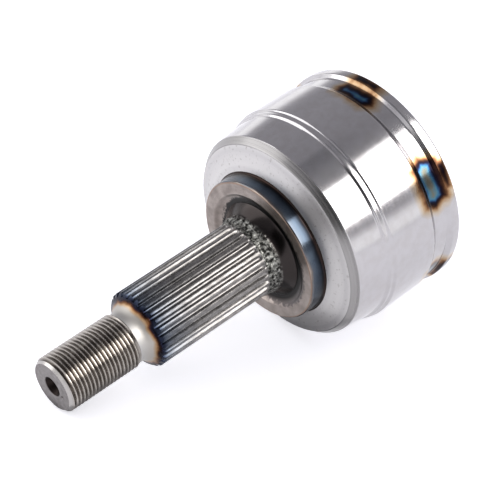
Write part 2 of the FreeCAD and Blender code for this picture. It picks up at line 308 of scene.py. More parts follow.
# Ground steel with heat tints on the bell: the wheel leaves a near mirror with fine lines round it, here
# drawn 0.22 mm apart so that they show. Hardening the tracks from inside blued the thin wall over each one,
# from grey-green at the middle to straw at the edge, and two opposite tracks were heated most.
race_finish["bell"], tree = new_finish("heat_tinted_ground_steel")
place, along, out, angle = turned_place(tree)
MARK_MIDDLE = 11.3
MARK_HALF_WIDTH = 3.7
MARK_HALF_LENGTH = 8.2
MARK_SLANT = 0.55
COOLEST_SHRINK = 3.1
LIP_MARK_MIDDLE = 17.6
LIP_MARK_HALF_LENGTH = 3.4
HOTTEST = math.radians(55)
lane = add(tree, "ShaderNodeMath", {0: angle, 1: math.pi / TRACKS}, operation="PINGPONG")
sideways = add(tree, "ShaderNodeMath", {0: lane, 1: COLLAR_RADIUS}, operation="MULTIPLY")
lengthways = add(tree, "ShaderNodeMath", {0: along, 1: MARK_MIDDLE}, operation="SUBTRACT")
lengthways = add(tree, "ShaderNodeMath", {0: lengthways}, operation="ABSOLUTE")
slanted = add(tree, "ShaderNodeMath", {0: lengthways, 1: MARK_SLANT, 2: sideways}, operation="MULTIPLY_ADD")
tips = add(tree, "ShaderNodeMath", {0: slanted, 1: MARK_HALF_LENGTH}, operation="SUBTRACT")
flanks = add(tree, "ShaderNodeMath", {0: lengthways, 1: MARK_HALF_WIDTH}, operation="SUBTRACT")
patch = add(tree, "ShaderNodeMath", {0: tips, 1: flanks}, operation="MAXIMUM")
lip_gap = add(tree, "ShaderNodeMath", {0: along, 1: LIP_MARK_MIDDLE}, operation="SUBTRACT")
lip_gap = add(tree, "ShaderNodeMath", {0: lip_gap}, operation="ABSOLUTE")
lip_end = add(tree, "ShaderNodeMath", {0: sideways, 1: LIP_MARK_HALF_LENGTH}, operation="SUBTRACT")
lip_patch = add(tree, "ShaderNodeMath", {0: lip_gap, 1: lip_end}, operation="MAXIMUM")
slow = add(tree, "ShaderNodeTexNoise", {"Vector": place, "Scale": PER_MM / 22, "Detail": 1.0})
uneven = add(tree, "ShaderNodeMapRange", {
    "Value": slow, "From Min": 0.3, "From Max": 0.7, "To Min": -1.6, "To Max": 1.4})
lip_patch = add(tree, "ShaderNodeMath", {0: lip_patch, 1: uneven}, operation="ADD")
lip_patch = add(tree, "ShaderNodeMath", {0: lip_patch, 1: -0.3}, operation="MAXIMUM")
twice = add(tree, "ShaderNodeMath", {0: angle, 1: 2.0, 2: -2 * HOTTEST}, operation="MULTIPLY_ADD")
hotter = add(tree, "ShaderNodeMath", {0: twice}, operation="COSINE")
cooler = add(tree, "ShaderNodeMapRange", {
    "Value": hotter, "From Min": 1.0, "From Max": -1.0, "To Max": COOLEST_SHRINK})
patch = add(tree, "ShaderNodeMath", {0: patch, 1: cooler}, operation="ADD")
patch = add(tree, "ShaderNodeMath", {0: patch, 1: lip_patch}, operation="MINIMUM")
flames = add(tree, "ShaderNodeTexNoise", {"Vector": place, "Scale": PER_MM / 3.4, "Detail": 2.0})
licks = add(tree, "ShaderNodeMapRange", {
    "Value": flames, "From Min": 0.25, "From Max": 0.75, "To Min": -0.6, "To Max": 0.6})
patch = add(tree, "ShaderNodeMath", {0: patch, 1: licks}, operation="ADD")
heat = add(tree, "ShaderNodeMapRange", {"Value": patch, "From Min": -6.0, "From Max": 8.0})
tints = add(tree, "ShaderNodeValToRGB", {"Fac": heat}, stops=[
    (0.20, "#5d5d54"), (0.25, "#526266"), (0.295, "#436678"), (0.335, "#2d5270"), (0.37, "#20304e"),
    (0.40, "#141523"), (0.445, "#1b1218"), (0.49, "#36231a"), (0.545, "#6b4b34"), (0.61, "#9c8062"),
    (0.70, "#b1a392"), (0.85, "#b4b2b4")])
handled = add(tree, "ShaderNodeTexNoise", {"Vector": place, "Scale": PER_MM / 3.2, "Detail": 5.0})
film = add(tree, "ShaderNodeValToRGB", {"Fac": handled}, stops=[(0.38, "#f9f8f7"), (0.60, "#ffffff")])
tinted = add(tree, "ShaderNodeMix", {
    "Factor": 1.0, "A": tints, "B": film}, data_type="RGBA", blend_type="MULTIPLY")
lines = tool_marks(tree, along, out, angle, 0.22)
add(tree, "ShaderNodeOutputMaterial", {"Surface": add(tree, "ShaderNodeBsdfPrincipled", {
    "Base Color": tinted,
    "Metallic": 1.0,
    "Roughness": add(tree, "ShaderNodeMapRange", {
        "Value": lines, "From Min": 0.3, "From Max": 0.7, "To Min": 0.12, "To Max": 0.19}),
    "Normal": add(tree, "ShaderNodeBump", {"Strength": 0.12, "Distance": 0.02 * MM, "Height": lines}),
})})

# Coarse-turned steel on the bevel round the bell's front: darker and clearer than the face beside it.
race_finish["bevel"], tree = new_finish("coarse_turned_steel")
place, along, out, angle = turned_place(tree)
rings = tool_marks(tree, along, out, angle, 0.45)
add(tree, "ShaderNodeOutputMaterial", {"Surface": add(tree, "ShaderNodeBsdfPrincipled", {
    "Base Color": add(tree, "ShaderNodeValToRGB", {"Fac": rings}, stops=[(0.3, "#848282"), (0.7, "#989695")]),
    "Metallic": 1.0,
    "Roughness": add(tree, "ShaderNodeMapRange", {
        "Value": rings, "From Min": 0.3, "From Max": 0.7, "To Min": 0.25, "To Max": 0.33}),
    "Normal": add(tree, "ShaderNodeBump", {"Strength": 0.2, "Distance": 0.03 * MM, "Height": rings}),
})})

# Turned steel on the bell's front: satin, with the fine rings of the finishing cut and a few dull specks
# from handling, about a millimetre across.
race_finish["face"], tree = new_finish("turned_steel")
place, along, out, angle = turned_place(tree)
rings = tool_marks(tree, along, out, angle, 0.30)
broad = tool_marks(tree, along, out, angle, 2.6, drift=0.1, detail=1.0)
plain_steel = add(tree, "ShaderNodeValToRGB", {"Fac": broad}, stops=[(0.35, "#b9b7b7"), (0.65, "#c6c4c3")])
handled = add(tree, "ShaderNodeTexNoise", {"Vector": place, "Scale": PER_MM / 1.1, "Detail": 4.0})
specks = add(tree, "ShaderNodeMapRange", {
    "Value": handled, "From Min": 0.60, "From Max": 0.72, "To Max": 0.5})
face_colour = add(tree, "ShaderNodeMix", {
    "Factor": specks, "A": plain_steel, "B": linear("#7d7772")}, data_type="RGBA")
add(tree, "ShaderNodeOutputMaterial", {"Surface": add(tree, "ShaderNodeBsdfPrincipled", {
    "Base Color": face_colour,
    "Metallic": 1.0,
    "Roughness": add(tree, "ShaderNodeMapRange", {
        "Value": rings, "From Min": 0.3, "From Max": 0.7, "To Min": 0.28, "To Max": 0.38}),
    "Anisotropic": 0.15,
    "Tangent": add(tree, "ShaderNodeTangent", direction_type="RADIAL", axis="X"),
    "Normal": add(tree, "ShaderNodeBump", {"Strength": 0.25, "Distance": 0.03 * MM, "Height": rings}),
})})

# Blued ground steel round the shoulder: almost black and still bright, brown along its front edge. Its colour
# runs from light at the front edge to near black at the fillet into the face: painted highlight at the front,
# painted shade in that corner.
race_finish["shoulder"], tree = new_finish("blued_ground_steel")
place, along, out, angle = turned_place(tree)
clouds = add(tree, "ShaderNodeTexNoise", {"Vector": place, "Scale": PER_MM / 9, "Detail": 3.0})
waver = add(tree, "ShaderNodeMapRange", {
    "Value": clouds, "From Min": 0.3, "From Max": 0.7, "To Min": -0.5, "To Max": 0.5})
shifted = add(tree, "ShaderNodeMath", {0: along, 1: waver}, operation="ADD")
height = add(tree, "ShaderNodeMapRange", {
    "Value": shifted, "From Min": BOSS_FACE - 0.15, "From Max": FACE_FOOT - 0.3})
lines = tool_marks(tree, along, out, angle, 0.25)
add(tree, "ShaderNodeOutputMaterial", {"Surface": add(tree, "ShaderNodeBsdfPrincipled", {
    "Base Color": add(tree, "ShaderNodeValToRGB", {"Fac": height}, stops=[
        (0.0, "#8d837b"), (0.08, "#6b6460"), (0.18, "#545b64"), (0.45, "#46505c"), (0.7, "#343b45"),
        (0.86, "#1b1d21"), (1.0, "#2a211e")]),
    "Metallic": 1.0,
    "Roughness": add(tree, "ShaderNodeMapRange", {
        "Value": lines, "From Min": 0.3, "From Max": 0.7, "To Min": 0.12, "To Max": 0.20}),
    "Normal": add(tree, "ShaderNodeBump", {"Strength": 0.15, "Distance": 0.02 * MM, "Height": lines}),
})})

# The dish is painted dark off centre towards one side: a painted reflection, with painted shade deepest by
# the stub's root.
PAINTED_SHADE_SIDE = math.radians(80)
PAINTED_SHADE_SHIFT = 2.0
PAINTED_SHADE_RADIUS = 21.0


def brown_film_and_painted_shade(tree, place, out, angle):
    """The mottled brown film on the shoulder's front, and the painted reflection and shade that darken its
    dish.
    """
    mottle = add(tree, "ShaderNodeTexNoise", {"Vector": place, "Scale": PER_MM / 3.8, "Detail": 4.0})
    brown = add(tree, "ShaderNodeValToRGB", {"Fac": mottle}, stops=[(0.35, "#7f7671"), (0.65, "#988f89")])
    side = add(tree, "ShaderNodeMath", {0: angle, 1: PAINTED_SHADE_SIDE}, operation="SUBTRACT")
    lean = add(tree, "ShaderNodeMath", {0: side}, operation="COSINE")
    reach = add(tree, "ShaderNodeMath", {0: lean, 1: -PAINTED_SHADE_SHIFT, 2: out}, operation="MULTIPLY_ADD")
    speckle = add(tree, "ShaderNodeTexNoise", {"Vector": place, "Scale": PER_MM / 1.3, "Detail": 4.0})
    ragged = add(tree, "ShaderNodeMapRange", {
        "Value": speckle, "From Min": 0.3, "From Max": 0.7, "To Min": -0.8, "To Max": 0.8})
    reach = add(tree, "ShaderNodeMath", {0: reach, 1: ragged}, operation="ADD")
    painted_shade_mask = add(tree, "ShaderNodeMapRange", {
        "Value": reach, "From Min": PAINTED_SHADE_RADIUS + 0.3, "From Max": PAINTED_SHADE_RADIUS - 0.3})
    depth = add(tree, "ShaderNodeMapRange", {
        "Value": out, "From Min": ROOT_RADIUS + 0.1, "From Max": DISH_RADIUS - 1.2})
    painted_shade_colour = add(tree, "ShaderNodeValToRGB", {"Fac": depth}, stops=[
        (0.0, "#11100f"), (0.45, "#1b1918"), (0.75, "#4a4644"), (1.0, "#5c5654")])
    return add(tree, "ShaderNodeMix", {"Factor": painted_shade_mask, "A": brown, "B": painted_shade_colour}, data_type="RGBA")


# Browned turned steel on the bearing's seat: flat rings under the mottled film, browner at the edge.
race_finish["seat"], tree = new_finish("browned_turned_steel")
place, along, out, angle = turned_place(tree)
edge = add(tree, "ShaderNodeMapRange", {
    "Value": out, "From Min": BOSS_RADIUS - 1.0, "From Max": BOSS_RADIUS - 0.3})
browned = add(tree, "ShaderNodeMix", {
    "Factor": edge, "A": brown_film_and_painted_shade(tree, place, out, angle), "B": linear("#846a58")}, data_type="RGBA")
rings = tool_marks(tree, along, out, angle, 0.35)
add(tree, "ShaderNodeOutputMaterial", {"Surface": add(tree, "ShaderNodeBsdfPrincipled", {
    "Base Color": browned,
    "Metallic": 1.0,
    "Roughness": add(tree, "ShaderNodeMapRange", {
        "Value": rings, "From Min": 0.3, "From Max": 0.7, "To Min": 0.26, "To Max": 0.36}),
    "Normal": add(tree, "ShaderNodeBump", {"Strength": 0.2, "Distance": 0.03 * MM, "Height": rings}),
})})

# Turned steel in the dish: smooth enough to mirror the stub, under the same brown film and its painted
# reflection and shade.
race_finish["dish"], tree = new_finish("turned_steel_with_painted_shade")
place, along, out, angle = turned_place(tree)
rings = tool_marks(tree, along, out, angle, 0.5)
add(tree, "ShaderNodeOutputMaterial", {"Surface": add(tree, "ShaderNodeBsdfPrincipled", {
    "Base Color": brown_film_and_painted_shade(tree, place, out, angle),
    "Metallic": 1.0,
    "Roughness": add(tree, "ShaderNodeMapRange", {
        "Value": rings, "From Min": 0.3, "From Max": 0.7, "To Min": 0.28, "To Max": 0.40}),
    "Normal": add(tree, "ShaderNodeBump", {"Strength": 0.2, "Distance": 0.03 * MM, "Height": rings}),
})})

# Forge-scaled steel at the stub's root: dark greenish scale with broken bright grains under 1 mm across,
# turned smooth again towards the dish.
ROUGH_START = -39.6
race_finish["root"], tree = new_finish("forge_scaled_steel")
place, along, out, angle = turned_place(tree)
rough = add(tree, "ShaderNodeMapRange", {
    "Value": along, "From Min": ROUGH_START - 1.4, "From Max": ROUGH_START + 0.2,
    "To Min": 1.0, "To Max": 0.0})
grains = add(tree, "ShaderNodeTexVoronoi", {"Vector": place, "Scale": PER_MM / 0.5})
specks = add(tree, "ShaderNodeTexNoise", {"Vector": place, "Scale": PER_MM / 1.2, "Detail": 5.0})
scale_film = add(tree, "ShaderNodeValToRGB", {"Fac": specks}, stops=[(0.42, "#2a2a28"), (0.62, "#a2a29d")])
# The turned part next to the dish is near black all round: painted shade at the bottom of the dish.
skin = add(tree, "ShaderNodeMix", {
    "Factor": rough, "A": linear("#332f2e"), "B": scale_film}, data_type="RGBA")
broken = add(tree, "ShaderNodeMath", {0: rough, 1: grains}, operation="MULTIPLY")
add(tree, "ShaderNodeOutputMaterial", {"Surface": add(tree, "ShaderNodeBsdfPrincipled", {
    "Base Color": skin,
    "Metallic": 1.0,
    "Roughness": add(tree, "ShaderNodeMapRange", {"Value": rough, "To Min": 0.2, "To Max": 0.32}),
    "Normal": add(tree, "ShaderNodeBump", {"Strength": 0.9, "Distance": 0.25 * MM, "Height": broken}),
})})

# Rolled and tempered steel on the splines: grey with a fine grain across. Heating the stub's end left
# straw, brown and navy bands on the flare and the first third of the teeth.
HEAT_RAMP_START = -98.0
HEAT_RAMP_END = -58.0
race_finish["spline"], tree = new_finish("tempered_rolled_steel")
place, along, out, angle = turned_place(tree)
clouds = add(tree, "ShaderNodeTexNoise", {"Vector": place, "Scale": PER_MM / 6, "Detail": 3.0})
waver = add(tree, "ShaderNodeMapRange", {
    "Value": clouds, "From Min": 0.3, "From Max": 0.7, "To Min": -0.4, "To Max": 0.4})
shifted = add(tree, "ShaderNodeMath", {0: along, 1: waver}, operation="ADD")
heated = add(tree, "ShaderNodeMapRange", {
    "Value": shifted, "From Min": HEAT_RAMP_START, "From Max": HEAT_RAMP_END})
grain_place = add(tree, "ShaderNodeCombineXYZ", {
    "X": add(tree, "ShaderNodeMath", {0: along, 1: 3.2}, operation="MULTIPLY"),
    "Y": add(tree, "ShaderNodeMath", {0: angle, 1: 7.0}, operation="MULTIPLY"),
    "Z": out,
})
grain = add(tree, "ShaderNodeTexNoise", {"Vector": grain_place, "Scale": 1.0, "Detail": 3.0})
temper = add(tree, "ShaderNodeValToRGB", {"Fac": heated}, stops=[
    (0.0, "#a9a8a7"), (0.105, "#a7a39d"), (0.122, "#9c8060"), (0.131, "#6b4529"), (0.139, "#2a1c24"),
    (0.148, "#1a1e2f"), (0.170, "#2f3543"), (0.205, "#545a64"), (0.26, "#64676d"), (0.36, "#6f7073"),
    (0.55, "#807e7d"), (1.0, "#8e8b89")])
wear_place = add(tree, "ShaderNodeCombineXYZ", {
    "X": add(tree, "ShaderNodeMath", {0: along, 1: 0.3}, operation="MULTIPLY"),
    "Y": add(tree, "ShaderNodeMath", {0: angle, 1: 12.0}, operation="MULTIPLY"),
    "Z": out,
})
wear = add(tree, "ShaderNodeTexNoise", {"Vector": wear_place, "Scale": 1.0, "Detail": 4.0})
worn = add(tree, "ShaderNodeValToRGB", {"Fac": wear}, stops=[(0.35, "#c4c4c4"), (0.65, "#ffffff")])
toothed = add(tree, "ShaderNodeMapRange", {
    "Value": along, "From Min": SPLINE_END - 1.0, "From Max": SPLINE_END - 0.2})
coloured = add(tree, "ShaderNodeMix", {
    "Factor": toothed, "A": temper, "B": worn}, data_type="RGBA", blend_type="MULTIPLY")
grain = add(tree, "ShaderNodeMath", {0: grain, 1: toothed}, operation="MULTIPLY")
grained = add(tree, "ShaderNodeMapRange", {
    "Value": grain, "From Min": 0.3, "From Max": 0.7, "To Min": 0.24, "To Max": 0.34})
satin = add(tree, "ShaderNodeMapRange", {
    "Value": along, "From Min": SPLINE_END - 0.4, "From Max": SPLINE_END - 1.8, "To Max": 0.28})
add(tree, "ShaderNodeOutputMaterial", {"Surface": add(tree, "ShaderNodeBsdfPrincipled", {
    "Base Color": coloured,
    "Metallic": 1.0,
    "Roughness": add(tree, "ShaderNodeMath", {0: grained, 1: satin}, operation="ADD"),
    "Normal": add(tree, "ShaderNodeBump", {"Strength": 0.08, "Distance": 0.04 * MM, "Height": grain}),
})})

# Rolled thread steel: bright on the crests, warmer and darker down in the roots.
race_finish["thread"], tree = new_finish("rolled_thread_steel")
place, along, out, angle = turned_place(tree)
stain = add(tree, "ShaderNodeTexNoise", {"Vector": place, "Scale": PER_MM / 2.9, "Detail": 3.0})
root = add(tree, "ShaderNodeValToRGB", {"Fac": stain}, stops=[(0.3, "#46413d"), (0.7, "#645d57")])
crest = add(tree, "ShaderNodeValToRGB", {"Fac": stain}, stops=[(0.3, "#97928c"), (0.7, "#b0aba5")])
height = add(tree, "ShaderNodeMapRange", {
    "Value": out, "From Min": THREAD_RADIUS - 0.825, "From Max": THREAD_RADIUS - 0.125})
turns = add(tree, "ShaderNodeMix", {"Factor": height, "A": root, "B": crest}, data_type="RGBA")
end_bevel = add(tree, "ShaderNodeMapRange", {
    "Value": along, "From Min": STUB_END + 1.4, "From Max": STUB_END + 0.7})
worn = add(tree, "ShaderNodeMix", {
    "Factor": end_bevel, "A": turns, "B": linear("#a8a5a2")}, data_type="RGBA")
add(tree, "ShaderNodeOutputMaterial", {"Surface": add(tree, "ShaderNodeBsdfPrincipled", {
    "Base Color": worn,
    "Metallic": 1.0,
    "Roughness": add(tree, "ShaderNodeMapRange", {
        "Value": stain, "From Min": 0.3, "From Max": 0.7, "To Min": 0.18, "To Max": 0.30}),
})})

# Faced steel on the stub's end: matte grey, with the rings of one facing cut. Whatever lies below the face,
# the centre's hole and the punch mark, is painted near black as painted shade.
race_finish["stub_end"], tree = new_finish("faced_steel")
place, along, out, angle = turned_place(tree)
mottle = add(tree, "ShaderNodeTexNoise", {"Vector": place, "Scale": PER_MM / 1.7, "Detail": 4.0})
faced = add(tree, "ShaderNodeValToRGB", {"Fac": mottle}, stops=[(0.3, "#6e6a69"), (0.7, "#868281")])
painted_shade_mask = add(tree, "ShaderNodeMapRange", {
    "Value": along, "From Min": STUB_END + 0.1, "From Max": STUB_END + 0.3})
end_colour = add(tree, "ShaderNodeMix", {
    "Factor": painted_shade_mask, "A": faced, "B": linear("#2a2422")}, data_type="RGBA")
rings = tool_marks(tree, along, out, angle, 0.3)
add(tree, "ShaderNodeOutputMaterial", {"Surface": add(tree, "ShaderNodeBsdfPrincipled", {
    "Base Color": end_colour,
    "Metallic": 1.0,
    "Roughness": add(tree, "ShaderNodeMapRange", {
        "Value": rings, "From Min": 0.3, "From Max": 0.7, "To Min": 0.36, "To Max": 0.50}),
    "Normal": add(tree, "ShaderNodeBump", {"Strength": 0.3, "Distance": 0.04 * MM, "Height": rings}),
})})

# Track-ground steel: bright, with the wheel's lines along each ball's way.
race_finish["track"], tree = new_finish("track_ground_steel")
place, along, out, angle = turned_place(tree)
line_place = add(tree, "ShaderNodeCombineXYZ", {
    "X": add(tree, "ShaderNodeMath", {0: along, 1: 0.15}, operation="MULTIPLY"),
    "Y": add(tree, "ShaderNodeMath", {0: angle, 1: 90.0}, operation="MULTIPLY"),
})
lines = add(tree, "ShaderNodeTexNoise", {"Vector": line_place, "Scale": 1.0, "Detail": 3.0})
add(tree, "ShaderNodeOutputMaterial", {"Surface": add(tree, "ShaderNodeBsdfPrincipled", {
    "Base Color": add(tree, "ShaderNodeValToRGB", {"Fac": lines}, stops=[(0.3, "#a09d9b"), (0.7, "#bab7b4")]),
    "Metallic": 1.0,
    "Roughness": add(tree, "ShaderNodeMapRange", {
        "Value": lines, "From Min": 0.3, "From Max": 0.7, "To Min": 0.14, "To Max": 0.26}),
    "Normal": add(tree, "ShaderNodeBump", {"Strength": 0.15, "Distance": 0.02 * MM, "Height": lines}),
})})

finish_names = list(race_finish)

# Twelve points across each tooth and its gap: how far along the spacing they lie, and how deep.
TOOTH = [(-0.43, 1.0), (-0.37, 0.93), (-0.31, 0.62), (-0.25, 0.27), (-0.19, 0.08), (-0.08, 0.0),
         (0.08, 0.0), (0.19, 0.08), (0.25, 0.27), (0.31, 0.62), (0.37, 0.93), (0.43, 1.0)]
turn = np.array([(tooth + 0.5 + place) / TEETH for tooth in range(TEETH) for place, _ in TOOTH])
tooth_depth = np.array([depth for _ in range(TEETH) for _, depth in TOOTH])
around = turn * 2 * math.pi


def bend(start, end, radius, steps):
    """Points on an arc; its centre lies left of the way from start to end if the radius is positive."""
    start, end = np.array(start), np.array(end)
    chord = end - start
    length = np.hypot(*chord)
    left = np.array((-chord[1], chord[0])) / length
    centre = (start + end) / 2 + left * math.copysign(math.sqrt(radius ** 2 - length ** 2 / 4), radius)
    first, last = (math.atan2(*(point - centre)[::-1]) for point in (start, end))
    sweep = (last - first + math.pi) % (2 * math.pi) - math.pi
    return [tuple(centre + abs(radius) * np.array((math.cos(first + sweep * i / steps),
                                                   math.sin(first + sweep * i / steps))))
            for i in range(steps + 1)]


def deburred(corners, size):
    """The outline with a small flat on each real corner, and a row beyond that keeps the next face flat."""
    real_corner = math.radians(22)
    row_beyond = 1.6
    points = [corners[0]]
    for before, corner, after in zip(corners, corners[1:], corners[2:]):
        into, out = np.subtract(corner, before), np.subtract(after, corner)
        reach_in, reach_out = np.hypot(*into), np.hypot(*out)
        bent = math.acos(max(-1, min(1, float(into @ out) / (reach_in * reach_out))))
        if bent < real_corner:
            points.append(corner)
            continue
        cut = min(size, 0.25 * reach_in, 0.25 * reach_out)
        for share in (row_beyond, 1.0):
            points.append(tuple(np.array(corner) - into / reach_in * cut * share))
        for share in (1.0, row_beyond):
            points.append(tuple(np.array(corner) + out / reach_out * cut * share))
    return points + [corners[-1]]


def ball_height(x):
    """How far out the round cavity reaches at a place along the axis."""
    return math.sqrt(CAVITY_RADIUS ** 2 - x ** 2)


# The outline, from the middle of the cavity's floor round the rim to the foot of the splines. Each finish
# has the points where its stretches end.
NEAR_AXIS = 0.02
LIP_ROUND = 1.0
LIP_SLOPE = 1.2
SEAT_TAPER = 0.1
SEAT_SLOPE = 2.1
BELL_SLOPE = 0.6
COLLAR_SLOPE = 0.8
FILLET = 0.8
EDGE = 0.5
DISH_EDGE = 0.3
DISH_FLOOR_RADIUS = 18.9
cavity_foot = (CAVITY_FLOOR, ball_height(CAVITY_FLOOR))
mouth_foot = (MOUTH_END, ball_height(MOUTH_END))
lip_front = (RIM, LIP_RADIUS - LIP_ROUND)
outline = [
    ("cavity", [(CAVITY_FLOOR, NEAR_AXIS), cavity_foot]
     + bend(cavity_foot, mouth_foot, radius=-CAVITY_RADIUS, steps=30)[1:]
     + [(RIM, MOUTH_RADIUS)]),
    ("bell", [lip_front]
     + bend(lip_front, (RIM - LIP_ROUND, LIP_RADIUS), radius=LIP_ROUND, steps=5)[1:]
     + [(LIP_END, LIP_RADIUS), (LIP_END - LIP_SLOPE, SEAT_RADIUS + SEAT_TAPER),
        (SEAT_END + SEAT_SLOPE, SEAT_RADIUS), (SEAT_END, BELL_RADIUS),
        (BELL_END, BELL_RADIUS), (BELL_END - BELL_SLOPE, COLLAR_RADIUS),
        (COLLAR_END + COLLAR_SLOPE, COLLAR_RADIUS), (COLLAR_END, NOSE_START_RADIUS),
        (NOSE_END, NOSE_RADIUS)]),
    ("bevel", [(FACE_EDGE, BEVEL_RADIUS)]),
    ("face", [(FACE_MIDDLE, FACE_MIDDLE_RADIUS), (FACE_FOOT, FACE_FOOT_RADIUS)]),
    ("shoulder", bend((FACE_FOOT, FACE_FOOT_RADIUS), (FACE_FOOT - FILLET, BOSS_RADIUS),
                      radius=-FILLET, steps=4)[1:]
     + [(BOSS_FACE + EDGE, BOSS_RADIUS), (BOSS_FACE, BOSS_RADIUS - EDGE)]),
    ("seat", [(BOSS_FACE, DISH_RADIUS)]),
    ("dish", bend((BOSS_FACE + DISH_EDGE, DISH_RADIUS - EDGE), (DISH_FLOOR, DISH_FLOOR_RADIUS),
                  radius=-3.2, steps=8)
     + [(DISH_FLOOR, ROOT_RADIUS)]),
]
corners, corner_finish = [], []
for finish, points in outline:
    corners += points
    corner_finish += [finish] * len(points)
smooth_corners = deburred(corners, size=0.22)


def finish_at(point):
    """The finish of the stretch of outline that a point lies on."""
    gaps = []
    for index in range(1, len(corners)):
        start, end = np.array(corners[index - 1]), np.array(corners[index])
        share = np.clip((np.array(point) - start) @ (end - start) / ((end - start) @ (end - start)), 0, 1)
        gaps.append(np.hypot(*(np.array(point) - start - share * (end - start))))
    return corner_finish[int(np.argmin(gaps)) + 1]


# Each row goes once round the axis: its places along it, its radii, and the finish up to the next row.
count = len(turn)
rows = []


def add_row(x, radius, finish):
    """A row whose places and radii are one number each, or one for every point."""
    rows.append((np.broadcast_to(x, count), np.broadcast_to(radius, count), finish))


JUST_INTO_ROOT = (DISH_FLOOR - 0.1, ROOT_RADIUS - 0.05)
for here, ahead in zip(smooth_corners, smooth_corners[1:] + [JUST_INTO_ROOT]):
    middle = ((here[0] + ahead[0]) / 2, (here[1] + ahead[1]) / 2)
    add_row(*here, finish_at(middle))

# The stub's root is turned, and the last millimetres before the splines keep their rough forged skin, with
# grains up to a third of a millimetre high.
GRAIN_HEIGHT = 0.32
GRAINS_PER_MM = 1.6
GRAIN_SMOOTHNESS = 0.7
GRAIN_LACUNARITY = 2.3
GRAIN_OCTAVES = 3
SKIN_RISE = 1.2
SKIN_FALL = 0.8
root = bend((DISH_FLOOR, ROOT_RADIUS), (SPLINE_START, SPLINE_RADIUS), radius=-12.0, steps=36)
for x, radius in root[1:-1]:
    rough = min(1.0, max(0.0, (ROUGH_START - x) / SKIN_RISE), (x - SPLINE_START) / SKIN_FALL)
    circle = [Vector((x, radius * math.sin(a), radius * math.cos(a))) for a in around]
    grains = np.array([noise.fractal(point * GRAINS_PER_MM, GRAIN_SMOOTHNESS, GRAIN_LACUNARITY, GRAIN_OCTAVES)
                       for point in circle])
    add_row(x, radius + rough * GRAIN_HEIGHT * grains, "root")

# The splines start with the rolling tool's round run-out and end in a bevel and a flare down to the neck.
flare = bend((SPLINE_END, SPLINE_RADIUS - SPLINE_BEVEL), (NECK_START, NECK_RADIUS), radius=-4.6, steps=12)
run_out = [SPLINE_START - SPLINE_RUNOUT * share
           for share in (0, 0.02, 0.06, 0.12, 0.2, 0.3, 0.42, 0.56, 0.75, 1.0)]
plain = list(np.linspace(SPLINE_START - SPLINE_RUNOUT, SPLINE_END + SPLINE_BEVEL, 16)[1:])
bevel = [SPLINE_END + left for left in (0.9, 0.6, 0.3)]
for x in run_out + plain + bevel + [point[0] for point in flare[:-1]]:
    grown = min(1.0, (SPLINE_START - x) / SPLINE_RUNOUT)
    depth = SPLINE_DEPTH * math.sqrt(max(0.0, 1 - (1 - grown) ** 2))
    envelope = np.interp(-x, [-SPLINE_END - SPLINE_BEVEL] + [-point[0] for point in flare],
                         [SPLINE_RADIUS] + [point[1] for point in flare])
    add_row(x, np.minimum(SPLINE_RADIUS - depth * tooth_depth, envelope), "spline")
add_row(NECK_START, NECK_RADIUS, "spline")
add_row(THREAD_START, NECK_RADIUS, "thread")
gap_row = len(rows) - 1

# The end of the stub: a flat turned face with the lathe centre's hole, a cone and then a drilled pilot.
CENTRE_MOUTH_RADIUS = 3.75
CENTRE_CONE_DEPTH = 4.1
PILOT_RADIUS = 1.4
PILOT_DEPTH = 10.1
PILOT_TIP = 0.8
end_outline = [
    (STUB_END, THREAD_RADIUS - THREAD_BEVEL), (STUB_END, CENTRE_MOUTH_RADIUS),
    (STUB_END + CENTRE_CONE_DEPTH, PILOT_RADIUS), (STUB_END + PILOT_DEPTH, PILOT_RADIUS),
    (STUB_END + PILOT_DEPTH + PILOT_TIP, NEAR_AXIS)]
for x, radius in deburred(end_outline, size=0.15):
    add_row(x, radius, "stub_end")

# The thread, M20 x 1.5, right-hand: rows that climb with it, so its crest is one clean edge. Each turn has
# five rows: how far along the pitch they lie, and how deep. Both ends of the climb are cut off square.
THREAD_PROFILE = [(0.07, 0.0), (0.40, 0.93), (0.50, 1.0), (0.60, 0.93), (0.93, 0.0)]
LEAD_IN = 1.5
THREAD_RUNOUT = 1.4
NECK_BEVEL = THREAD_RADIUS - NECK_RADIUS
climbs = int((THREAD_START - STUB_END) / PITCH) + 3
thread_rows = []
for climb in range(len(THREAD_PROFILE) * climbs):
    place, cut = THREAD_PROFILE[climb % len(THREAD_PROFILE)]
    raw = STUB_END - PITCH * LEAD_IN + PITCH * (place + climb // len(THREAD_PROFILE) + turn)
    x = np.clip(raw, STUB_END, THREAD_START)
    envelope = np.interp(x, [STUB_END, STUB_END + THREAD_BEVEL, THREAD_START - NECK_BEVEL, THREAD_START],
                         [THREAD_RADIUS - THREAD_BEVEL, THREAD_RADIUS, THREAD_RADIUS, NECK_RADIUS])
    fade = np.clip((THREAD_START - x) / THREAD_RUNOUT, 0, 1)
    thread_rows.append((x, np.minimum(envelope, THREAD_RADIUS - THREAD_DEPTH * cut * fade), "thread"))

# All rows become one skin. The thread's rows meet themselves one turn on, and its gap in the plain rows is
# left out.
places = [np.stack([x, -radius * np.sin(around), radius * np.cos(around)], axis=1)
          for x, radius, _ in rows + thread_rows]
first_thread = len(rows) * count
faces, face_finish = [], []
for row in range(len(rows) - 1):
    if row == gap_row:
        continue
    for column in range(count):
        after = (column + 1) % count
        faces.append((row * count + column, row * count + after,
                      (row + 1) * count + after, (row + 1) * count + column))
        face_finish.append(finish_names.index(rows[row][2]))
for row in range(len(thread_rows) - 1):
    for column in range(count):
        after = (column + 1) % count
        shift = len(THREAD_PROFILE) if column == count - 1 else 0
        if row + 1 + shift >= len(thread_rows):
            continue
        here, there = first_thread + row * count, first_thread + (row + shift) * count
        faces.append((here + column, here + count + column, there + count + after, there + after))
        face_finish.append(finish_names.index("thread"))
faces += [tuple(range(count)), tuple(range((len(rows) - 1) * count, len(rows) * count))]
face_finish += [finish_names.index("cavity"), finish_names.index("stub_end")]

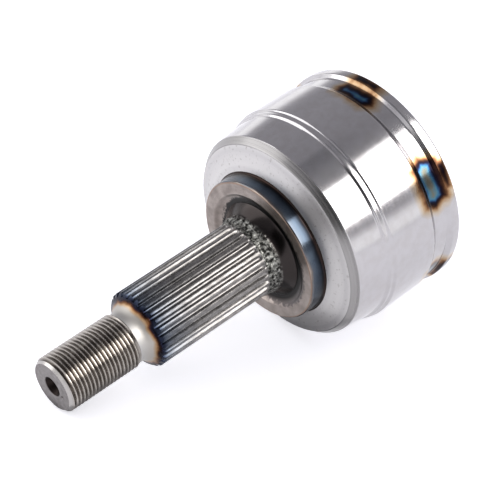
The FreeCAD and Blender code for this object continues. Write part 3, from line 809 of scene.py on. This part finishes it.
outer_race = bpy.data.objects.new("bell_and_stub", bpy.data.meshes.new("bell_and_stub"))
scene.collection.objects.link(outer_race)
outer_race.data.from_pydata((np.concatenate(places) * MM).tolist(), [], faces)
outer_race.data.polygons.foreach_set("material_index", face_finish)
form = bmesh.new()
form.from_mesh(outer_race.data)
bmesh.ops.remove_doubles(form, verts=form.verts, dist=0.0015 * MM)
bmesh.ops.delete(form, geom=[edge for edge in form.edges if not edge.link_faces], context="EDGES")
bmesh.ops.delete(form, geom=[vert for vert in form.verts if not vert.link_faces], context="VERTS")
bmesh.ops.recalc_face_normals(form, faces=form.faces)
form.to_mesh(outer_race.data)
form.free()


def tube(form, centres, normals, radius, sides):
    """A closed round tube through the centres, square to the normals."""
    rings = []
    for centre, normal in zip(centres, normals):
        out = Vector((0, centre.y, centre.z)).normalized()
        side = normal.cross(out).normalized()
        out = side.cross(normal).normalized()
        rings.append([form.verts.new((centre + (out * math.cos(t) + side * math.sin(t)) * radius) * MM)
                      for t in (2 * math.pi * i / sides for i in range(sides))])
    for near, far in zip(rings, rings[1:]):
        for i in range(sides):
            form.faces.new((near[i], near[(i + 1) % sides], far[(i + 1) % sides], far[i]))
    form.faces.new(rings[0])
    form.faces.new(rings[-1])


# The six ball tracks are ground along a circle whose centre lies 3 mm towards the mouth. Its angles are in
# degrees at that centre, from square across the axis towards the mouth.
TRACK_CIRCLE = math.hypot(BALL_CIRCLE_RADIUS, TRACK_OFFSET)
TRACK_BACK_ANGLE = -46
TRACK_MOUTH_ANGLE = 50
TRACK_STEPS = 48
track_sweep = TRACK_MOUTH_ANGLE - TRACK_BACK_ANGLE
bends = [math.radians(TRACK_BACK_ANGLE + track_sweep * i / TRACK_STEPS) for i in range(TRACK_STEPS + 1)]
axis = Vector((1, 0, 0))
cutter_form = bmesh.new()
for number in range(TRACKS):
    lie = math.radians(60 * number)
    up = Vector((0, -math.sin(lie), math.cos(lie)))
    centres = [axis * TRACK_OFFSET + (axis * math.sin(b) + up * math.cos(b)) * TRACK_CIRCLE for b in bends]
    normals = [axis * math.cos(b) - up * math.sin(b) for b in bends]
    tube(cutter_form, centres, normals, TRACK_RADIUS, sides=72)

# One small punch mark, the only mark on the stub's end.
PUNCH_OUT = 5.07
punch_lie = math.radians(104)
punch_place = Vector((STUB_END, -PUNCH_OUT * math.sin(punch_lie), PUNCH_OUT * math.cos(punch_lie))) * MM
punch_turn = Matrix.Rotation(math.radians(90), 4, "Y")
bmesh.ops.create_cone(cutter_form, cap_ends=True, segments=16, radius1=1.1 * MM, radius2=0.02 * MM,
                      depth=1.6 * MM, matrix=Matrix.Translation(punch_place) @ punch_turn)
bmesh.ops.recalc_face_normals(cutter_form, faces=cutter_form.faces)
cutter = bpy.data.objects.new("track_grinder", bpy.data.meshes.new("track_grinder"))
cutter_form.to_mesh(cutter.data)
cutter_form.free()
scene.collection.objects.link(cutter)

for name in finish_names:
    outer_race.data.materials.append(race_finish[name])
    cutter.data.materials.append(race_finish[name])
for side in cutter.data.polygons:
    side.material_index = finish_names.index("track" if side.center.x > SPLINE_END * MM else "stub_end")
cut = outer_race.modifiers.new("ball_tracks", "BOOLEAN")
cut.operation = "DIFFERENCE"
cut.solver = "MANIFOLD"
cut.object = cutter
ready = bpy.data.meshes.new_from_object(outer_race.evaluated_get(bpy.context.evaluated_depsgraph_get()))
outer_race.modifiers.clear()
outer_race.data = ready
bpy.data.objects.remove(cutter)
outer_race.data.shade_smooth()
outer_race.data.set_sharp_from_angle(angle=math.radians(28))
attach(outer_race, "stub_side")
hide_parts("outer_race")


# The inner race is hardened steel on the drive shaft's splines. Its ball tracks and its round back are
# ground bright, and its two faces are turned and stay darker.
def dress(node, finish):
    """Gives a piece of the frame its finish and the slot it takes it from."""
    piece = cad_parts[node]
    piece.data.materials.clear()
    piece.data.materials.append(finish)


RACE_FACE = 11.6
hardened_race, tree = new_finish("hardened_ground_steel")
place, along, out, angle = turned_place(tree)
clouds = add(tree, "ShaderNodeTexNoise", {"Vector": place, "Scale": PER_MM / 7.7, "Detail": 4.0})
ground = add(tree, "ShaderNodeValToRGB", {"Fac": clouds}, stops=[(0.3, "#a9a5a1"), (0.7, "#bdb9b4")])
faced = add(tree, "ShaderNodeValToRGB", {"Fac": clouds}, stops=[(0.3, "#716d69"), (0.7, "#86817c")])
depth = add(tree, "ShaderNodeMath", {0: along}, operation="ABSOLUTE")
facing = add(tree, "ShaderNodeMapRange", {
    "Value": depth, "From Min": RACE_FACE, "From Max": RACE_FACE + 0.3})
race_colour = add(tree, "ShaderNodeMix", {"Factor": facing, "A": ground, "B": faced}, data_type="RGBA")
lines = tool_marks(tree, along, out, angle, 0.4)
add(tree, "ShaderNodeOutputMaterial", {"Surface": add(tree, "ShaderNodeBsdfPrincipled", {
    "Base Color": race_colour,
    "Metallic": 1.0,
    "Roughness": add(tree, "ShaderNodeMapRange", {
        "Value": lines, "From Min": 0.3, "From Max": 0.7, "To Min": 0.16, "To Max": 0.30}),
    "Normal": add(tree, "ShaderNodeBump", {"Strength": 0.25, "Distance": 0.03 * MM, "Height": lines}),
})})
dress("inner_race", hardened_race)

# The cage is a steel ring with six windows, case-hardened and left dark. Its round outside and inside are
# ground to slide between the two races.
cage_steel, tree = new_finish("case_hardened_steel")
place, along, out, angle = turned_place(tree)
clouds = add(tree, "ShaderNodeTexNoise", {"Vector": place, "Scale": PER_MM / 6.7, "Detail": 4.0})
lines = tool_marks(tree, along, out, angle, 0.35)
add(tree, "ShaderNodeOutputMaterial", {"Surface": add(tree, "ShaderNodeBsdfPrincipled", {
    "Base Color": add(tree, "ShaderNodeValToRGB", {"Fac": clouds}, stops=[
        (0.3, "#4a4746"), (0.7, "#64605d")]),
    "Metallic": 1.0,
    "Roughness": add(tree, "ShaderNodeMapRange", {
        "Value": lines, "From Min": 0.3, "From Max": 0.7, "To Min": 0.26, "To Max": 0.42}),
    "Normal": add(tree, "ShaderNodeBump", {"Strength": 0.25, "Distance": 0.03 * MM, "Height": lines}),
})})
dress("ball_cage", cage_steel)

# The six balls are chrome steel, lapped to a mirror, with a breath of oil that dulls them in clouds.
ball_steel, tree = new_finish("lapped_chrome_steel")
place = add(tree, "ShaderNodeTexCoord").outputs["Object"]
film = add(tree, "ShaderNodeTexNoise", {"Vector": place, "Scale": PER_MM / 5, "Detail": 3.0})
add(tree, "ShaderNodeOutputMaterial", {"Surface": add(tree, "ShaderNodeBsdfPrincipled", {
    "Base Color": add(tree, "ShaderNodeValToRGB", {"Fac": film}, stops=[(0.3, "#c4c2c1"), (0.7, "#d2d0cf")]),
    "Metallic": 1.0,
    "Roughness": add(tree, "ShaderNodeMapRange", {
        "Value": film, "From Min": 0.3, "From Max": 0.7, "To Min": 0.04, "To Max": 0.10}),
})})
for number in range(1, TRACKS + 1):
    dress(f"ball_{number}", ball_steel)

# The snap ring is blued spring wire, bent round and sprung into the groove that holds the drive shaft.
ring_steel, tree = new_finish("blued_spring_wire")
place = add(tree, "ShaderNodeTexCoord").outputs["Object"]
film = add(tree, "ShaderNodeTexNoise", {"Vector": place, "Scale": PER_MM / 2, "Detail": 3.0})
add(tree, "ShaderNodeOutputMaterial", {"Surface": add(tree, "ShaderNodeBsdfPrincipled", {
    "Base Color": add(tree, "ShaderNodeValToRGB", {"Fac": film}, stops=[(0.3, "#2b2e36"), (0.7, "#3d4250")]),
    "Metallic": 1.0,
    "Roughness": add(tree, "ShaderNodeMapRange", {
        "Value": film, "From Min": 0.3, "From Max": 0.7, "To Min": 0.22, "To Max": 0.36}),
})})
dress("shaft_snap_ring", ring_steel)
